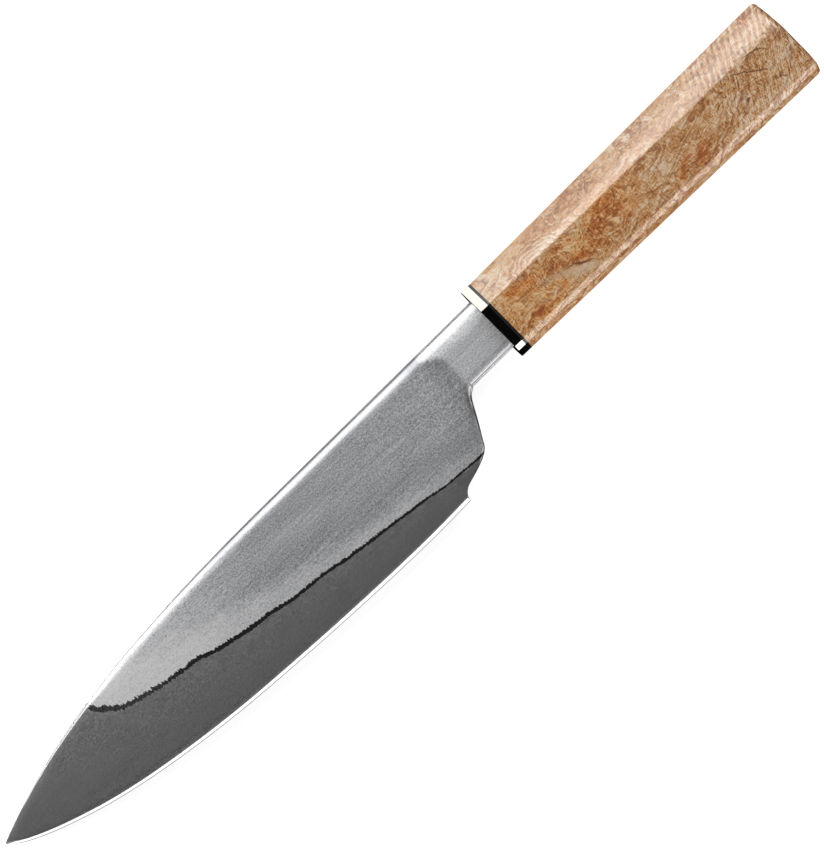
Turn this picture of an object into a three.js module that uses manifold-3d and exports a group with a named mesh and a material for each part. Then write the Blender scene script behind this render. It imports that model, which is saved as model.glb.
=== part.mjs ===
// Chef's knife with a five-layer laminated blade and an eight-sided wooden handle.
//
// The knife lies on its side. +X runs from the tip to the butt, +Y towards the spine (the edge is on
// the -Y side) and +Z out of the left flank. All lengths are millimetres. The parts are drawn in the
// knife's own drawing frame, whose origin is the tip of the point at the middle of the blade's
// thickness, and are moved to the row's frame at the end.
import * as THREE from "three";
import { mergeVertices } from "three/addons/utils/BufferGeometryUtils.js";
import Module from "manifold-3d";

const wasm = await Module();
wasm.setup();

// ---- driving dimensions -------------------------------------------------------------------------

const POINT_X = 0.4; // the point is blunted this far back
const HEEL_X = 172; // where the edge ends
const FERRULE_X = 213.6; // front face of the ferrule
const SPACER_X = 216.5; // back of the ferrule, front of the spacer
const WOOD_X = 217.4; // back of the spacer, front of the wood
const BUTT_X = 338.2; // furthest point of the domed butt
const TANG_END_X = 301;

const CORE_HALF = 0.8; // half the thickness of the hard core
const DARK_LAYER = 0.04; // thickness of each dark layer between core and cladding
const EDGE_HALF = 0.35; // half thickness where the small edge bevel starts
const SHARP_HALF = 0.03; // half thickness at the very edge
const EDGE_BEVEL = 1.25; // width of the small edge bevel
const BARE_X = 46; // in front of here the core is bare up to the spine
const CLAD_X = 50; // behind here the flank is flat
const CLAD_HALF = 0.95; // half thickness of the flank where it starts
const TAPER = 0.003; // half thickness gained per millimetre from tip to heel
const POINT_HALF = 0.75; // half thickness of the forged bar at the point
const NECK_HALF = 1.6; // and at the neck
const POINT_ROUND = 0.9; // width of the rounding along the spine at the point
const NECK_ROUND = 7; // and at the neck
const CHOIL_ROUND = 2.6; // width of the rounding along the neck's lower side
const TANG_HALF = 1.5;

const HANDLE_HALF = 10.5; // half the handle's thickness
const TOP_FLAT_HALF = 2.4; // half the width of the flat under the palm
const LOW_FLAT_HALF = 4.6; // half the width of the flat under the fingers
const LOW_RIDGE_HALF = 8.9; // half the width at the ridge between the two lower facets
const SLOT_GAP = 0.05; // room around the neck in the ferrule and spacer
const GLUE_GAP = 0.8; // room around the tang in the wood
const FIT_GAP = 0.02; // keeps touching faces from overlapping

// ---- outlines, as [x, y] ------------------------------------------------------------------------

const SPINE = [
  [0, 0], [8, 3.05], [18, 6.2], [29, 9.3], [42, 12.1], [56, 14.4], [72, 16.1], [92, 17.25],
  [114, 17.8], [140, 17.9], [230, 17.9],
];
const EDGE = [
  [0, 0], [2, -1.9], [7.2, -5.1], [18, -9.5], [34, -14.3], [54, -18.25], [78, -21.3], [104, -23.2],
  [131, -24.5], [155, -25.05], [172, -24.8],
];
const HEEL = [
  [172, -24.8], [172.5, -23.2], [173.6, -21.9], [175.2, -21], [179.3, -19.8], [182.7, -18.6],
  [185, -17.4], [186.4, -16.2], [187.8, -13.8], [190.6, -9], [193.2, -4.2], [194.6, -2.3],
  [196.4, -1.2], [199, -0.85], [230, -0.8],
];
// Where the core meets the dark layer on the wide bevel.
const LAMINATION = [
  [BARE_X, 13], [49, 8.6], [52, 6], [57, 3.7], [64, 1.8], [72, 0.1], [80, -1.2], [90, -3.9],
  [105, -6.6], [126, -9.9], [150, -13.4], [170, -16.3], [186, -17.4],
];
// Handle section at its front and at its butt: heights of the lower flat, the two lower ridges, the
// upper ridge and the upper flat.
const FRONT_HEIGHTS = [-4.75, -2.8, -1.1, 13.4, 21.7];
const BUTT_HEIGHTS = [-6.9, -5.4, -3.5, 12.2, 22.4];

// ---- helpers ------------------------------------------------------------------------------------

const clamp = THREE.MathUtils.clamp;
const lerp = THREE.MathUtils.lerp;
const smoothstep = THREE.MathUtils.smoothstep;

// Value at x on a row of [x, y] points joined by straight lines.
function along(points, x) {
  let i = 1;
  while (i < points.length - 1 && points[i][0] < x) i += 1;
  const [x0, y0] = points[i - 1];
  const [x1, y1] = points[i];
  return lerp(y0, y1, clamp((x - x0) / (x1 - x0), 0, 1));
}

// Smooth row of points through a few given ones.
function smooth(points, count = 160) {
  const curve = new THREE.SplineCurve(points.map(([x, y]) => new THREE.Vector2(x, y)));
  return curve.getPoints(count).map((p) => [p.x, p.y]);
}

function toSolid(geometry) {
  const bare = new THREE.BufferGeometry();
  const flat = geometry.index ? geometry.toNonIndexed() : geometry;
  bare.setAttribute("position", flat.getAttribute("position"));
  const merged = mergeVertices(bare, 1e-4);
  return new wasm.Manifold(
    new wasm.Mesh({
      numProp: 3,
      vertProperties: merged.attributes.position.array,
      triVerts: new Uint32Array(merged.index.array),
    }),
  );
}

function toGeometry(solid) {
  const mesh = solid.getMesh();
  const geometry = new THREE.BufferGeometry();
  geometry.setAttribute("position", new THREE.BufferAttribute(mesh.vertProperties, 3));
  geometry.setIndex(new THREE.BufferAttribute(mesh.triVerts, 1));
  return geometry.toNonIndexed();
}

// A box between two corners.
function block(low, high) {
  const size = low.map((value, axis) => high[axis] - value);
  const box = new THREE.BoxGeometry(...size);
  box.translate(...low.map((value, axis) => value + size[axis] / 2));
  return toSolid(box);
}

// A flat bar lying along X whose height tapers from one [low, high] pair to another.
function taperedBar(x0, x1, front, back, half) {
  const bar = new THREE.BoxGeometry(1, 1, 2 * half);
  const position = bar.attributes.position;
  for (let i = 0; i < position.count; i += 1) {
    const atBack = position.getX(i) > 0;
    const [low, high] = atBack ? back : front;
    position.setX(i, atBack ? x1 : x0);
    position.setY(i, position.getY(i) > 0 ? high : low);
  }
  return toSolid(bar);
}

// ---- the forged blade and neck as one envelope --------------------------------------------------

const spine = smooth(SPINE);
const edge = smooth(EDGE);
const lamination = smooth(LAMINATION);

const lowSide = (x) => (x < HEEL_X ? along(edge, x) : along(HEEL, x));

// Half thickness of the flat flank. The tip in front of the cladding is ground thinner.
function flankHalf(x) {
  const tip = CORE_HALF + TAPER * (x - BARE_X);
  const flat = CLAD_HALF + TAPER * (x - CLAD_X);
  return lerp(tip, flat, clamp((x - BARE_X) / (CLAD_X - BARE_X), 0, 1));
}

// Quarter-ellipse rounding: 0 at an outline and 1 a width inside it.
function roundOver(distance, width) {
  const q = clamp(distance / width, 0, 1);
  return Math.sqrt(Math.max(1 - (1 - q) ** 2, 0));
}

// Width of the rounding along the spine.
const spineRound = (x) => lerp(POINT_ROUND, NECK_ROUND, smoothstep(x, 10, 150));

// Half thickness of the forged bar before grinding: it is rounded towards the spine.
function forgedHalf(x, y) {
  const half = lerp(POINT_HALF, NECK_HALF, smoothstep(x, 0, 185));
  return half * (0.16 + 0.84 * roundOver(along(spine, x) - y, spineRound(x)));
}

// Half thickness that grinding leaves. The wide bevel rises evenly from the edge, reaches the core's
// surface at the lamination line and goes on to the flat flank, which ends at the plunge line.
function groundHalf(x, y) {
  const lineX = clamp(x, BARE_X, 186);
  const bevelWidth = along(lamination, lineX) - along(edge, Math.min(lineX, HEEL_X));
  const rise = (y - along(edge, Math.min(x, HEEL_X))) / bevelWidth;
  const flank = Math.min(EDGE_HALF + (CORE_HALF - EDGE_HALF) * rise, flankHalf(x));
  const plungeX = 195.5 - 5.5 * smoothstep(y, 10.5, 15.5) ** 2 - 1.5 * smoothstep(-y, -4, 4);
  return lerp(flank, NECK_HALF + 0.6, smoothstep(x, plungeX - 2.5, plungeX + 2));
}

// Half thickness of the finished steel.
function steelHalf(x, y) {
  const half = Math.min(groundHalf(x, y), forgedHalf(x, y));
  const gap = y - lowSide(x);
  if (x <= HEEL_X) {
    const share = clamp(gap / EDGE_BEVEL, 0, 1);
    return share < 1 ? Math.min(half, lerp(SHARP_HALF, EDGE_HALF, share)) : half;
  }
  const slope = (lowSide(x + 0.2) - lowSide(x - 0.2)) / 0.4;
  const width = 0.35 + CHOIL_ROUND * smoothstep(x, 180, 192);
  return half * (0.25 + 0.75 * roundOver(gap / Math.hypot(1, slope), width));
}

// Heights of the surface rows at one station, from the edge to the spine.
const ROWS = 9;
function rowHeights(x) {
  const low = lowSide(x);
  const high = along(spine, x);
  const height = high - low;
  const first = Math.min(EDGE_BEVEL, height * 0.2);
  const round = Math.min(spineRound(x), height * 0.35);
  const back = high - round;
  const lineY = along(lamination, Math.max(x, BARE_X));
  const line = clamp(lineY, low + first + 0.1 * height, back - 0.1 * height);
  const rise = (flankHalf(x) - EDGE_HALF) / (CORE_HALF - EDGE_HALF);
  const shoulderY = low + (line - low) * rise;
  const shoulder = clamp(shoulderY, line + 0.03 * height, back - 0.04 * height);
  const backRows = [1, 0.5, 0.25, 0.08, 0].map((share) => high - round * share);
  return [low, low + first, line, shoulder, ...backRows];
}

const STATIONS = [
  POINT_X, 2, 5, 9, 14, 20, 27, 35, 42, BARE_X, 48, 50, 52, 55, 58, 62, 67, 73, 80, 88, 97, 107, 118,
  130, 142, 154, 164, HEEL_X, 172.5, 173.6, 175.2, 179.3, 182.7, 185, 186.4, 187.8, 189.2, 190.6, 192,
  193.2, 194.6, 196.4, 199, 205, WOOD_X - FIT_GAP,
];

function bladeEnvelope() {
  const grid = new THREE.BoxGeometry(1, 1, 1, STATIONS.length - 1, ROWS - 1, 1);
  const position = grid.attributes.position;
  for (let i = 0; i < position.count; i += 1) {
    const x = STATIONS[Math.round((position.getX(i) + 0.5) * (STATIONS.length - 1))];
    const y = rowHeights(x)[Math.round((position.getY(i) + 0.5) * (ROWS - 1))];
    position.setXYZ(i, x, y, Math.sign(position.getZ(i)) * steelHalf(x, y));
  }
  return toSolid(grid);
}

const TANG_FRONT = [2.9, 14.1];
const TANG_BACK = [5.4, 11.8];
const tang = taperedBar(WOOD_X - 2, TANG_END_X, TANG_FRONT, TANG_BACK, TANG_HALF);
const forging = bladeEnvelope().add(tang);

// The layers of the forging, cut apart at planes parallel to its middle.
const layer = (low, high) => forging.intersect(block([-10, -40, low], [400, 40, high]));
const core = layer(-CORE_HALF, CORE_HALF);
const claddingStart = CORE_HALF + DARK_LAYER;
const leftDark = layer(CORE_HALF, claddingStart);
const rightDark = layer(-claddingStart, -CORE_HALF);
const leftCladding = layer(claddingStart, 10);
const rightCladding = layer(-10, -claddingStart);

// ---- handle -------------------------------------------------------------------------------------

// Eight-sided section, drawn at the handle's front.
function handleSection() {
  const [lowFlat, lowRidge, sideLow, sideHigh, topFlat] = FRONT_HEIGHTS;
  const side = [
    [LOW_FLAT_HALF, lowFlat], [LOW_RIDGE_HALF, lowRidge], [HANDLE_HALF, sideLow],
    [HANDLE_HALF, sideHigh], [TOP_FLAT_HALF, topFlat],
  ];
  const mirrored = [...side].reverse().map(([z, y]) => [-z, y]);
  return new THREE.Shape([...side, ...mirrored].map(([z, y]) => new THREE.Vector2(z, y)));
}

// The section carried along stations of [x, inset]: its ridges spread towards the butt, and the
// inset draws the whole section in to round the end.
function handleSolid(stations) {
  const body = new THREE.ExtrudeGeometry(handleSection(), {
    depth: 1,
    steps: stations.length - 1,
    bevelEnabled: false,
  });
  const position = body.attributes.position;
  const spread = FRONT_HEIGHTS.map((height, i) => [height, BUTT_HEIGHTS[i]]);
  for (let i = 0; i < position.count; i += 1) {
    const [x, inset] = stations[Math.round(position.getZ(i) * (stations.length - 1))];
    const share = clamp((x - FERRULE_X) / (BUTT_X - FERRULE_X), 0, 1);
    const frontY = position.getY(i);
    const y = lerp(frontY, along(spread, frontY), share);
    const bottom = lerp(FRONT_HEIGHTS[0], BUTT_HEIGHTS[0], share);
    const top = lerp(FRONT_HEIGHTS[4], BUTT_HEIGHTS[4], share);
    const middle = (bottom + top) / 2;
    const halfHeight = (top - bottom) / 2;
    const drawnY = middle + (y - middle) * (1 - inset / halfHeight);
    const drawnZ = -position.getX(i) * (1 - inset / HANDLE_HALF);
    position.setXYZ(i, x, drawnY, drawnZ);
  }
  return toSolid(body);
}

// Stations of the rounded butt: a quarter round of about 2 mm, then a shallow dome.
const DOME = 0.8;
const ROUND = 1.8;
function buttStations() {
  const stations = [];
  for (let i = 0; i <= 4; i += 1) {
    const angle = (i / 4) * (Math.PI / 2);
    const x = BUTT_X - DOME - ROUND + ROUND * Math.sin(angle);
    stations.push([x, ROUND * (1 - Math.cos(angle))]);
  }
  stations.push([BUTT_X - DOME * 0.35, 4.5]);
  stations.push([BUTT_X, 8]);
  return stations;
}

const neckSlot = block(
  [FERRULE_X - 1, along(HEEL, FERRULE_X) - SLOT_GAP, -NECK_HALF - SLOT_GAP],
  [WOOD_X + 1, along(spine, FERRULE_X) + SLOT_GAP, NECK_HALF + SLOT_GAP],
);
const ferruleStations = [[FERRULE_X, 0.3], [FERRULE_X + 0.3, 0], [SPACER_X, 0]];
const ferrule = handleSolid(ferruleStations).subtract(neckSlot);
const spacer = handleSolid([[SPACER_X, 0], [WOOD_X, 0]]).subtract(neckSlot);

const glueBar = (grow) =>
  taperedBar(
    WOOD_X - 1,
    TANG_END_X + 3 + grow,
    [TANG_FRONT[0] - GLUE_GAP - grow, TANG_FRONT[1] + GLUE_GAP + grow],
    [TANG_BACK[0] - GLUE_GAP - grow, TANG_BACK[1] + GLUE_GAP + grow],
    TANG_HALF + GLUE_GAP + grow,
  );
const handleBlock = handleSolid([[WOOD_X, 0], ...buttStations()]).subtract(glueBar(FIT_GAP));
const tangGap = taperedBar(
  WOOD_X - 2,
  TANG_END_X + FIT_GAP,
  [TANG_FRONT[0] - FIT_GAP, TANG_FRONT[1] + FIT_GAP],
  [TANG_BACK[0] - FIT_GAP, TANG_BACK[1] + FIT_GAP],
  TANG_HALF + FIT_GAP,
);
const behindSpacer = block([WOOD_X + FIT_GAP, -40, -20], [400, 40, 20]);
const bedding = glueBar(0).subtract(tangGap).intersect(behindSpacer);

// ---- named meshes -------------------------------------------------------------------------------

const part = new THREE.Group();

function addPiece(name, solid, colour, roughness, metalness) {
  const material = new THREE.MeshStandardMaterial({ color: colour, roughness, metalness });
  const mesh = new THREE.Mesh(toGeometry(solid), material);
  mesh.name = name;
  part.add(mesh);
}

addPiece("core_steel", core, "#686868", 0.4, 0.9);
addPiece("left_dark_layer", leftDark, "#1f1f1f", 0.7, 0.6);
addPiece("right_dark_layer", rightDark, "#1f1f1f", 0.7, 0.6);
addPiece("left_cladding", leftCladding, "#9a9b9d", 0.5, 0.9);
addPiece("right_cladding", rightCladding, "#9a9b9d", 0.5, 0.9);
addPiece("ferrule", ferrule, "#dcd9cd", 0.12, 1);
addPiece("ferrule_spacer", spacer, "#0c0c0c", 0.35, 0);
addPiece("handle_block", handleBlock, "#bd8a57", 0.3, 0);
addPiece("tang_bedding", bedding, "#c9b88c", 0.5, 0);

// The row's origin is under the middle of the whole knife, on the plane it rests on.
const bounds = new THREE.Box3().setFromObject(part);
const middle = bounds.getCenter(new THREE.Vector3());
for (const mesh of part.children) mesh.geometry.translate(-middle.x, -middle.y, -bounds.min.z);

export default part;
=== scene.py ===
# %% [markdown]
# # A chef's knife with a laminated blade
#
# The knife lies on its side, its point towards -X and its edge towards -Y. The CAD model fixes
# where each piece is. This notebook builds what the eye sees around it: the layers of the blade,
# the polished ferrule, the black spacer and the burl handle. It starts by loading that model as a
# fixed frame and noting its box.

# %% Load the frame
import math

import bmesh
import bpy
import numpy as np
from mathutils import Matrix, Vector, noise


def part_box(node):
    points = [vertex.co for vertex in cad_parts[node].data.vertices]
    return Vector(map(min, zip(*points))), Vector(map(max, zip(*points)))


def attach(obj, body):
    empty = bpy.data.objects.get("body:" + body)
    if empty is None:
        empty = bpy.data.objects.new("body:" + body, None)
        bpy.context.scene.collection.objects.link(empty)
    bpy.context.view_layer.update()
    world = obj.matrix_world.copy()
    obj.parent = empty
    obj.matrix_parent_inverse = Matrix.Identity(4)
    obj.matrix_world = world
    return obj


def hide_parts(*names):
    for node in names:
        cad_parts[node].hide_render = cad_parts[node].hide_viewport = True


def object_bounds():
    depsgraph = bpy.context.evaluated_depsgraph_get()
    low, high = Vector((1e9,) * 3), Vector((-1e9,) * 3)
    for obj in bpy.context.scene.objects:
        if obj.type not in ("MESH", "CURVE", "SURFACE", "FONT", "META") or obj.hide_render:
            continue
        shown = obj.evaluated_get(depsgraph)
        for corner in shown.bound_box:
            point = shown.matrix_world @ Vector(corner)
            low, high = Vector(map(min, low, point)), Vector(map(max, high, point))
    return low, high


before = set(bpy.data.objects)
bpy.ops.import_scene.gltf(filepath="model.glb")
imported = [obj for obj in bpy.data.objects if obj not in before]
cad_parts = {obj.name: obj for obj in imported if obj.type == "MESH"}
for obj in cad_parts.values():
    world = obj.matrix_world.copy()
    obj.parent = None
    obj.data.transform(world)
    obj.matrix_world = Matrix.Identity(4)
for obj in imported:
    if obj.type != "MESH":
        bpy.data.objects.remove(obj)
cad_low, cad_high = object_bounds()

scene = bpy.context.scene
print("CAD box in mm:", [round(1000 * v, 2) for v in (*cad_low, *cad_high)])

# %% [markdown]
# The outlines below are drawn in millimetres from the knife's point, as a maker would mark them on
# the steel. Three faces of the CAD pieces tie that drawing to the frame: the front of the ferrule,
# the top of the spine and the middle of the core.

# %% Tie the drawing to the frame
MM = 0.001
FERRULE_X, SPACER_X, WOOD_X, BUTT_X = 213.6, 216.5, 217.4, 338.2
SPINE_Y = 17.9
POINT_X, HEEL_X = 0.4, 172.0

ferrule_low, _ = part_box("ferrule")
core_low, core_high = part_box("core_steel")
SHIFT = Vector((
    ferrule_low.x - FERRULE_X * MM,
    core_high.y - SPINE_Y * MM,
    (core_low.z + core_high.z) / 2,
))


def row(x, y, z):
    """A point of the drawing, in mm, in the frame's metres."""
    return Vector((x * MM, y * MM, z * MM)) + SHIFT


print("drawing starts at", [round(1000 * v, 2) for v in SHIFT])

# %% [markdown]
# ## Outlines
#
# A smith draws a blade by bending a batten round a few pins. The same is done here: each outline is
# a smooth curve through a few marked points. A Bezier curve object could hold it too, but numbers
# are easier to ask for a height at any x, which every layer needs.

# %% Outlines
SPINE = [
    (0, 0), (8, 3.05), (18, 6.2), (29, 9.3), (42, 12.1), (56, 14.4), (72, 16.1), (92, 17.25),
    (114, 17.8), (140, 17.9), (230, 17.9),
]
EDGE = [
    (0, 0), (2, -1.9), (7.2, -5.1), (18, -9.5), (34, -14.3), (54, -18.25), (78, -21.3),
    (104, -23.2), (131, -24.5), (155, -25.05), (172, -24.8),
]
HEEL = [
    (172, -24.8), (172.5, -23.2), (173.6, -21.9), (175.2, -21), (179.3, -19.8), (182.7, -18.6),
    (185, -17.4), (186.4, -16.2), (187.8, -13.8), (190.6, -9), (193.2, -4.2), (194.6, -2.3),
    (196.4, -1.2), (199, -0.85), (230, -0.8),
]
LAMINATION = [
    (46, 13.6), (47, 11.4), (48.6, 9.1), (51, 6.9), (54.6, 4.4), (58.2, 3.3), (61.8, 2.4),
    (65.4, 1.35), (69, 0.5), (72.6, 0.1), (76.2, -0.5), (79.8, -0.8), (83.4, -2.1), (87, -3.25),
    (90.6, -4.05), (97.8, -5.55), (105, -6.5), (112.2, -8.1), (119.4, -9), (126.6, -9.7),
    (133.8, -11.1), (141, -12.1), (148.2, -13), (155.4, -14.05), (162.6, -15), (169.8, -16.3),
    (177, -16.95), (182, -17.3), (187, -17.2),
]


def smooth_curve(points, per_span=24):
    """Catmull-Rom curve through the points, as two arrays that np.interp can read."""
    p = np.array([points[0], *points, points[-1]], float)
    t = np.linspace(0, 1, per_span, endpoint=False)[:, None]
    spans = [
        0.5 * (2 * b + (c - a) * t + (2 * a - 5 * b + 4 * c - d) * t**2
               + (3 * b - a - 3 * c + d) * t**3)
        for a, b, c, d in zip(p[:-3], p[1:-2], p[2:-1], p[3:])
    ]
    curve = np.vstack([*spans, p[-1:]])
    return np.maximum.accumulate(curve[:, 0]), curve[:, 1]


CURVES = {name: smooth_curve(points) for name, points in {
    "spine": SPINE, "edge": EDGE, "heel": HEEL, "lamination": LAMINATION}.items()}


def on(name, x):
    """Height of the named outline at x."""
    return float(np.interp(x, *CURVES[name]))


def low_side(x):
    """Height of the edge, or behind it of the heel and the underside of the neck."""
    return on("edge", x) if x < HEEL_X else on("heel", x)


print("blade height at the heel:", round(SPINE_Y - on("edge", HEEL_X), 1), "mm")

# %% [markdown]
# Three small rules bend one number softly into another. They stand in for the belt grinder, which
# never leaves a hard corner unless the maker wants one. A Bevel modifier rounds corners too, but it
# can't fade a rounding out along the blade, as the back of a forged blade does towards its point.

# %% Soft rules
def smoothstep(x, start, end):
    t = min(max((x - start) / (end - start), 0.0), 1.0)
    return t * t * (3 - 2 * t)


def soft_min(a, b, width):
    """The smaller of two values, with the corner rounded over about that width."""
    h = min(max(0.5 + 0.5 * (b - a) / width, 0.0), 1.0)
    return b + (a - b) * h - width * h * (1 - h)


def round_over(distance, width):
    """Quarter-ellipse rounding: 0 at the outline, 1 a width inside it."""
    q = min(max(distance / width, 0.0), 1.0)
    return math.sqrt(max(1 - (1 - q) ** 2, 0.0))


print("half way round a corner:", round(round_over(0.5, 1.0), 3))

# %% [markdown]
# ## The ground surface
#
# The smith leaves the spine and neck round, then grinds a flat flank into each side and, below it,
# a wide bevel down to the edge. Cutting a solid with Boolean planes would give hard facets, so one
# function gives half the steel's thickness anywhere, and all the layers share that outer surface.

# %% Flank, neck and plunge line
CORE_HALF = 0.8  # mm from the middle of the blade to the outside of its core
EDGE_HALF, SHARP_HALF, EDGE_BEVEL = 0.35, 0.03, 1.25
BARE_X, CLAD_X, CLAD_HALF, TAPER = 46.0, 50.0, 0.95, 0.003
NECK_HALF, NECK_ROUND, TIP_ROUND = 1.6, 7.0, 0.9
FORGED_TIP_HALF, CHOIL_ROUND = 0.75, 2.6
SEAM_END_X = 187.0  # behind it the bevel no longer cuts the layers


def flank_half(x):
    """Half thickness of the flat flank, which thins towards the tip."""
    tip = CORE_HALF + TAPER * (x - BARE_X)
    flat = CLAD_HALF + TAPER * (x - CLAD_X)
    return tip + (flat - tip) * smoothstep(x, BARE_X, CLAD_X)


def slope_factor(x):
    """How much shorter the true distance to the heel outline is than the upright one."""
    rise = (low_side(x + 0.2) - low_side(x - 0.2)) / 0.4
    return 1 / math.sqrt(1 + rise * rise)


def plunge_line(y):
    """Where the ground flank ends and the neck begins, at a height."""
    return 195.5 - 5.5 * smoothstep(y, 10.5, 15.5) ** 2 - 1.5 * smoothstep(-y, -4, 4)


def forged_width(x):
    """How far the rounding of the back reaches down."""
    return TIP_ROUND + (NECK_ROUND - TIP_ROUND) * smoothstep(x, 10, 150)


print("flank half thickness at the heel:", round(flank_half(HEEL_X), 2), "mm")

# %% [markdown]
# Now the whole surface: the forged blank first, then the bevel and flank ground into it, then the
# edges of neck and heel eased so that they don't bite the hand, and last the fine edge itself.

# %% Finished half thickness
def envelope(x, y):
    """Half thickness of the finished steel at a point of the drawing."""
    forged_half = FORGED_TIP_HALF + (NECK_HALF - FORGED_TIP_HALF) * smoothstep(x, 0, 185)
    forged = forged_half * (0.16 + 0.84 * round_over(on("spine", x) - y, forged_width(x)))
    # wide bevel and flat flank
    foot = on("edge", min(x, HEEL_X))
    line_x = min(max(x, BARE_X), SEAM_END_X - 1)
    width = on("lamination", line_x) - on("edge", min(line_x, HEEL_X))
    bevel = EDGE_HALF + (CORE_HALF - EDGE_HALF) * (y - foot) / width
    ground = soft_min(bevel, flank_half(x), 0.05)
    # the flank ends in a curved plunge line before the neck
    plunge = smoothstep(x, plunge_line(y) - 2.5, plunge_line(y) + 2.0)
    ground = ground + (NECK_HALF + 0.6 - ground) * plunge
    half = soft_min(ground, forged, 0.02)
    gap = y - low_side(x)
    if x > HEEL_X:
        choil = CHOIL_ROUND * smoothstep(x, 180, 192) + 0.35
        half *= 0.25 + 0.75 * round_over(gap * slope_factor(x), choil)
    elif gap < EDGE_BEVEL:
        q = gap / EDGE_BEVEL
        half = min(half, SHARP_HALF + (EDGE_HALF - SHARP_HALF) * (1.15 * q - 0.15 * q * q))
    return max(half, SHARP_HALF)


for x, y in ((20, 5), (60, 5), (120, 5), (170, 5), (205, 8)):
    print(x, "half thickness mid-blade:", round(envelope(x, y), 3))

# %% [markdown]
# ## Where the layers come out
#
# Forge welding leaves the seam between hard core and soft cladding uneven, so the bevel cuts it in
# a ragged line. The line is widest near the tip, where the bevel is shallowest. A painted line
# would stop at the surface, so the raggedness goes into the layers' own outlines, from Blender's
# noise at three sizes with a fixed seed.

# %% Ragged seams
SEED = 11.7


def ragged(x, offset, fine):
    """Uneven height of a seam at x, in mm: a slow wander with a finer bite on it."""
    slow = noise.noise(Vector((x * 0.45, offset, SEED)))
    bite = noise.noise(Vector((x * 1.9, offset + 5.0, SEED)))
    grain = noise.noise(Vector((x * 4.7, offset + 9.0, SEED)))
    return (0.35 * slow + 0.7 * bite + 1.1 * grain) * fine


def seam_roughness(x):
    return 0.52 + 0.5 * (1 - smoothstep(x, 55, 90)) - 0.25 * smoothstep(x, 120, 185)


def seam_width(x):
    """Width of the dark line, measured upright, in mm."""
    rise = (on("lamination", x + 0.3) - on("lamination", x - 0.3)) / 0.6
    narrowing = 0.4 * smoothstep(x, 54, 66)
    narrowing += 0.3 * smoothstep(x, 95, 130) + 0.4 * smoothstep(x, 130, 180)
    return (1.75 - narrowing) * math.sqrt(1 + rise * rise)


def core_seam(x):
    return on("lamination", x) - seam_width(x) / 2 + 0.7 * ragged(x, 1.0, seam_roughness(x))


def cladding_seam(x):
    return on("lamination", x) + seam_width(x) / 2 + ragged(x, 3.0, seam_roughness(x))


for x in (60, 100, 140, 180):
    print(x, "width of the dark line:", round(cladding_seam(x) - core_seam(x), 2), "mm")

# %% [markdown]
# ## Building a layer
#
# A layer is a sheet of steel. It could be cut from a solid, but a grid keeps its faces even: a flat
# grid is extruded once for the inner side, and a rule then moves each point to its place. Two
# numbers are kept on every point for the material to read: how light the steel is drawn, painted
# light and shade included, and how polished.

# %% Finished meshes
def finish_mesh(bm, name, materials):
    """A smooth object at the origin, with its sharp corners kept."""
    bmesh.ops.remove_doubles(bm, verts=bm.verts[:], dist=1e-7)
    bmesh.ops.recalc_face_normals(bm, faces=bm.faces[:])
    mesh = bpy.data.meshes.new(name)
    bm.to_mesh(mesh)
    bm.free()
    for material in materials:
        mesh.materials.append(material)
    mesh.shade_smooth()
    mesh.set_sharp_from_angle(angle=math.radians(25))
    obj = bpy.data.objects.new(name, mesh)
    scene.collection.objects.link(obj)
    print(f"{name}: {len(mesh.vertices)} vertices, {len(mesh.polygons)} faces")
    return obj


def place(obj, node, slot):
    """The knife has one body, so every piece rides on it in place of its CAD node."""
    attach(obj, "root")
    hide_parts(node)


# %% [markdown]
# The rules are given as functions: the heights of one column of points, half the thickness outside
# and inside, and the look of each point.

# %% Sheet builder
def sheet(stations, heights, outer, inner, look):
    """Grid over the stations, its columns' heights given by a rule, closed by an inner copy."""
    bm = bmesh.new()
    rows_count = len(heights(stations[0])) - 1
    bmesh.ops.create_grid(bm, x_segments=len(stations) - 1, y_segments=rows_count, size=0.5)
    tone = bm.verts.layers.float.new("tone")
    polish = bm.verts.layers.float.new("polish")
    made = bmesh.ops.extrude_face_region(bm, geom=bm.faces[:], use_keep_orig=True)
    lifted = {v for v in made["geom"] if isinstance(v, bmesh.types.BMVert)}
    columns = [heights(x) for x in stations]
    for vert in bm.verts:
        column = round((vert.co.x + 0.5) * (len(stations) - 1))
        x = stations[column]
        y = columns[column][round((vert.co.y + 0.5) * rows_count)]
        z = outer(x, y) if vert in lifted else inner(x, y)
        vert.co = row(x, y, z)
        vert[tone], vert[polish] = look(x, y)
    return bm


# %% [markdown]
# ## Materials
#
# Every finish is drawn by nodes, so it stays sharp at any size and needs no image file. Colours are
# picked on screen and turned into light values by one function. One function adds a node of any
# kind with its settings and links; a pattern's size is always given in real millimetres.

# %% Colours and links
def colour(hex_code):
    """sRGB hex to the linear values that the shaders want."""
    channels = [int(hex_code[i:i + 2], 16) / 255 for i in (1, 3, 5)]
    return [c / 12.92 if c <= 0.04045 else ((c + 0.055) / 1.055) ** 2.4 for c in channels] + [1]


def feed(socket, value):
    """Links an output to a socket, or sets the socket's own value."""
    if isinstance(value, bpy.types.NodeSocket):
        socket.id_data.links.new(value, socket)
    else:
        socket.default_value = value


print("middle grey as light:", round(colour("#808080")[0], 3))

# %% [markdown]
# A finish is a material and its node tree. Patterns read the object's own coordinates, which stay
# with the steel and the wood when the knife is turned or seen from another side. A UV map would do
# so too, but it would have seams at every corner of the handle, and solid wood has none.

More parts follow.
